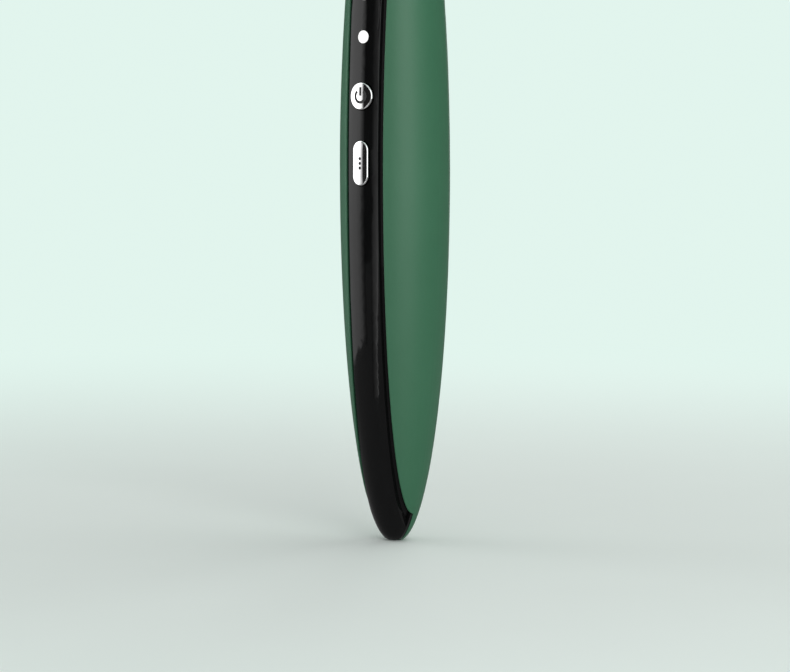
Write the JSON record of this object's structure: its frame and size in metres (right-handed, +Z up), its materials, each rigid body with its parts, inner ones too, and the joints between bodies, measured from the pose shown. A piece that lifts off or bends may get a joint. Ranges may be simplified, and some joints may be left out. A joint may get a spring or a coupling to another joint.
{
  "type": "eye massager",
  "caption": "Slender wand-shaped eye massager: tapered shell with a gloss control strip, push buttons, indicator lights, a slanted heated head and a vibration motor inside.",
  "frame": {"origin": "middle of the small flat on the tip, which the wand stands on", "axes": "+Z runs up the wand from the tip to the head, -Y is the side with the control strip, +X is to the right of someone who looks at the strip"},
  "size_m": [0.024, 0.0245, 0.1576],
  "materials": {
    "shell_green": "satin lacquer",
    "panel_black": "high gloss",
    "button_chrome": "polished plating",
    "lens_white": "milky light guide",
    "bezel_chrome": "polished plating",
    "ring_frosted": "frosted light guide",
    "plate_steel": "polished stainless steel",
    "rubber_black": "matt moulded",
    "film_amber": "polyimide film",
    "board_green": "solder mask",
    "board_white": "white solder mask",
    "led_white": "clear resin",
    "moulded_black": "fine matt moulding",
    "ceramic_tan": "fired",
    "steel_plain": "bright turned",
    "chassis_grey": "fine matt moulding",
    "cell_wrap": "shrink wrap",
    "nickel_tab": "nickel strip",
    "plunger_ivory": "fine matt moulding",
    "brass_plain": "bright drawn",
    "lead_red": "extruded insulation"
  },
  "bodies": {
    "handle": {"battery": "cell_wrap", "battery_pad": "rubber_black", "board_capacitors": "ceramic_tan", "board_screws": "steel_plain", "body_shell": "shell_green", "charge_board": "board_green", "charge_screws": "steel_plain", "chassis": "chassis_grey", "controller_chip": "moulded_black", "driver_chip": "moulded_black", "front_cover": "panel_black", "head_bezel": "bezel_chrome", "head_flex": "film_amber", "head_seal": "rubber_black", "heater_film": "film_amber", "indicator_leds": "led_white", "indicator_lens_lower": "lens_white", "indicator_lens_middle": "lens_white", "indicator_lens_upper": "lens_white", "light_baffle": "moulded_black", "light_ring": "ring_frosted", "link_header": "moulded_black", "link_pins": "brass_plain", "main_board": "board_green", "massage_plate": "plate_steel", "mode_switch": "moulded_black", "motor_bush": "brass_plain", "motor_can": "steel_plain", "motor_end_cap": "moulded_black", "motor_leads": "lead_red", "motor_sleeve": "rubber_black", "negative_strip": "nickel_tab", "plate_gasket": "rubber_black", "port_seal": "rubber_black", "positive_strip": "nickel_tab", "power_switch": "moulded_black", "ring_board": "board_white", "ring_leds": "led_white", "thermistor": "moulded_black", "usb_shell": "steel_plain", "usb_tongue": "moulded_black"},
    "power_key": {"power_button": "button_chrome"},
    "power_contact": {"power_plunger": "plunger_ivory"},
    "mode_key": {"mode_button": "button_chrome"},
    "mode_contact": {"mode_plunger": "plunger_ivory"},
    "rotor": {"motor_shaft": "steel_plain", "eccentric_weight": "steel_plain"}
  },
  "joints": [
    {"name": "power_press", "type": "slide", "parent": "handle", "child": "power_key", "axis": [0, 1, 0], "range_m": [0, 0.00035], "stiffness_N_per_m": 400, "springref_m": -0.001},
    {"name": "power_follow", "type": "slide", "parent": "handle", "child": "power_contact", "axis": [0, 1, 0], "range_m": [0, 0.00035]},
    {"name": "mode_press", "type": "slide", "parent": "handle", "child": "mode_key", "axis": [0, 1, 0], "range_m": [0, 0.00035], "stiffness_N_per_m": 400, "springref_m": -0.001},
    {"name": "mode_follow", "type": "slide", "parent": "handle", "child": "mode_contact", "axis": [0, 1, 0], "range_m": [0, 0.00035]},
    {"name": "motor_spin", "type": "hinge", "parent": "handle", "child": "rotor", "pos_m": [0, 0.00163, 0.12767], "axis": [0, 0, 1], "continuous": true}
  ],
  "couplings": [
    {"joint": "power_follow", "follows": "power_press", "ratio": 1},
    {"joint": "mode_follow", "follows": "mode_press", "ratio": 1}
  ]
}
